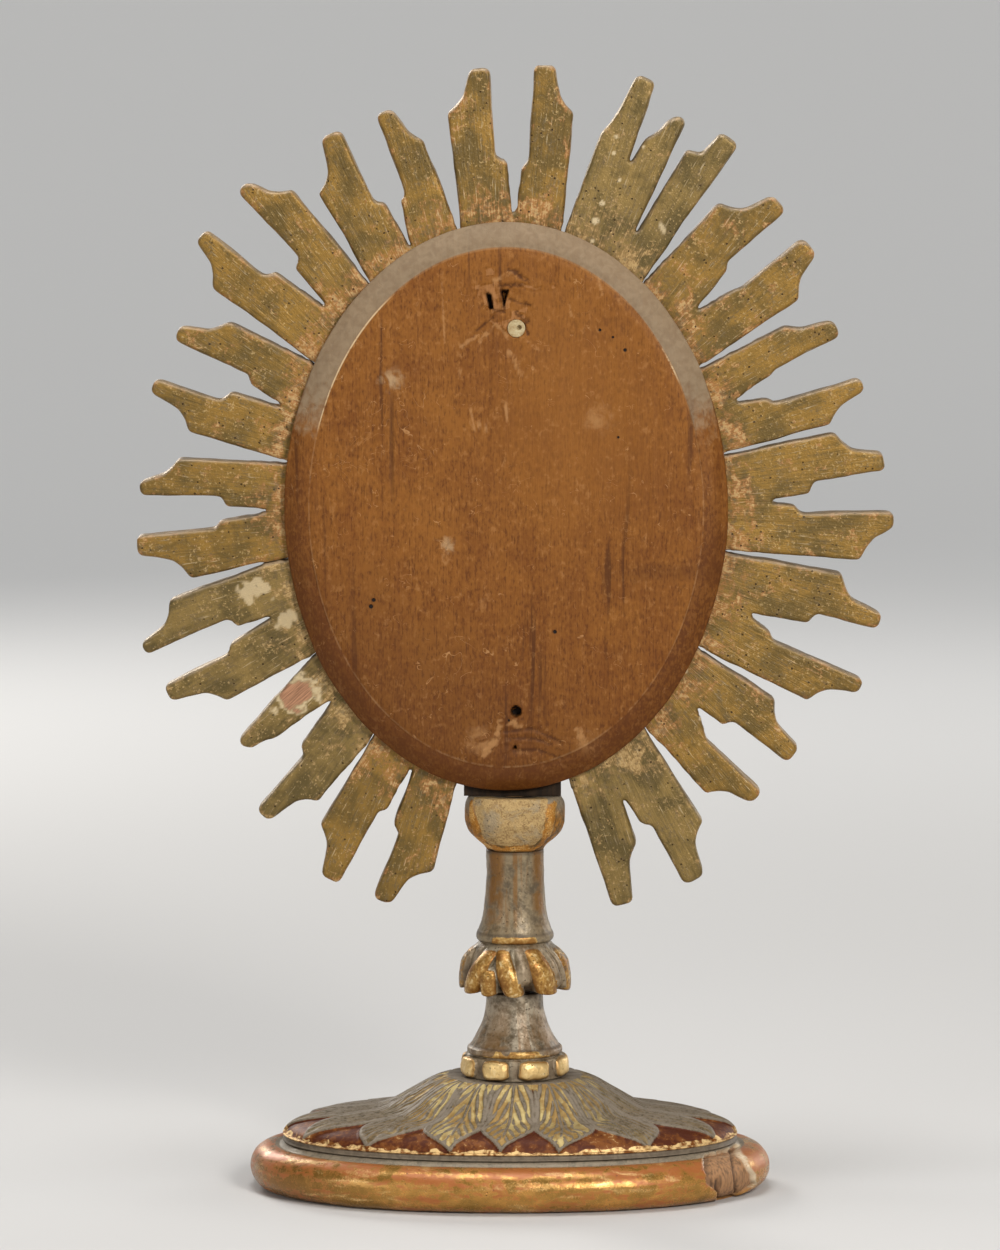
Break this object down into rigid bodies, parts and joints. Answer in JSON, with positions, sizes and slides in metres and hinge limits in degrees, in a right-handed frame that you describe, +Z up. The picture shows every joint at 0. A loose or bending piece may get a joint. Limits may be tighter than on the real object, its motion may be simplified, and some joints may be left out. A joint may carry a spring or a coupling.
{
  "type": "monstrance",
  "caption": "Carved gilded wood reliquary monstrance with an oval foot, a turned stem, a glazed oval window, rays round it and a bevelled back board that draws off.",
  "frame": {"origin": "on the stem's axis, at the underside of the foot", "axes": "+Z up along the stem, +X to the right as the back is seen, +Y out of the glazed front, so the bevelled back board faces -Y"},
  "size_m": [0.3397, 0.148, 0.5061],
  "materials": {
    "gilding": "water gilding over red bole and gesso on carved wood, worn on the high parts",
    "ray_gilding": "dull olive gilding on carved wood, coppery where it is rubbed, with gesso showing at breaks",
    "patched_ray_gilding": "greener, glossier repair gilding on carved wood",
    "grey_glaze": "grey-silver paint over ochre on turned wood, gilded on the rims",
    "leaf_paint": "grey paint cut through in fine strokes to pale gold, on a red bole ground",
    "capital_finish": "grainy tan face with an orange-gold rim and grey sides",
    "board_wood": "warm brown waxed wood with upright grain, scratched, its bevel painted grey at the top",
    "raw_wood": "bare softwood, matt",
    "plug_wood": "pale end grain, waxy and dirty",
    "window_glass": "clear old window glass",
    "silk": "crimson silk on a thin board",
    "brass": "satin brass, a little tarnished",
    "linen": "undyed linen"
  },
  "bodies": {
    "stand": {"foot_plinth": "gilding", "foot_dome": "leaf_paint", "collar": "gilding", "lower_baluster": "grey_glaze", "leaf_knop": "gilding", "upper_baluster": "grey_glaze", "capital": "capital_finish", "stem_spindle": "raw_wood"},
    "head": {"ray_pair_01": "ray_gilding", "ray_trio_02": "patched_ray_gilding", "ray_pair_03": "ray_gilding", "ray_pair_04": "ray_gilding", "ray_pair_05": "ray_gilding", "ray_pair_06": "ray_gilding", "ray_pair_07": "ray_gilding", "ray_pair_08": "patched_ray_gilding", "ray_pair_09": "ray_gilding", "ray_pair_10": "patched_ray_gilding", "ray_pair_11": "patched_ray_gilding", "ray_pair_12": "ray_gilding", "ray_pair_13": "ray_gilding", "ray_pair_14": "ray_gilding", "ray_pair_15": "ray_gilding", "root_block": "raw_wood", "window_frame": "gilding", "window_glass": "window_glass", "glass_fillet": "raw_wood"},
    "back": {"back_board": "board_wood", "upper_peg": "plug_wood", "lower_peg": "plug_wood", "relic_panel": "silk", "relic_case": "brass", "relic_case_glass": "window_glass", "relic_packet": "linen"}
  },
  "joints": [
    {"name": "head_lift", "type": "slide", "parent": "stand", "child": "head", "axis": [0, 0, 1], "range_m": [0, 0.05]},
    {"name": "back_draw", "type": "slide", "parent": "head", "child": "back", "axis": [0, -1, 0], "range_m": [0, 0.04]}
  ]
}
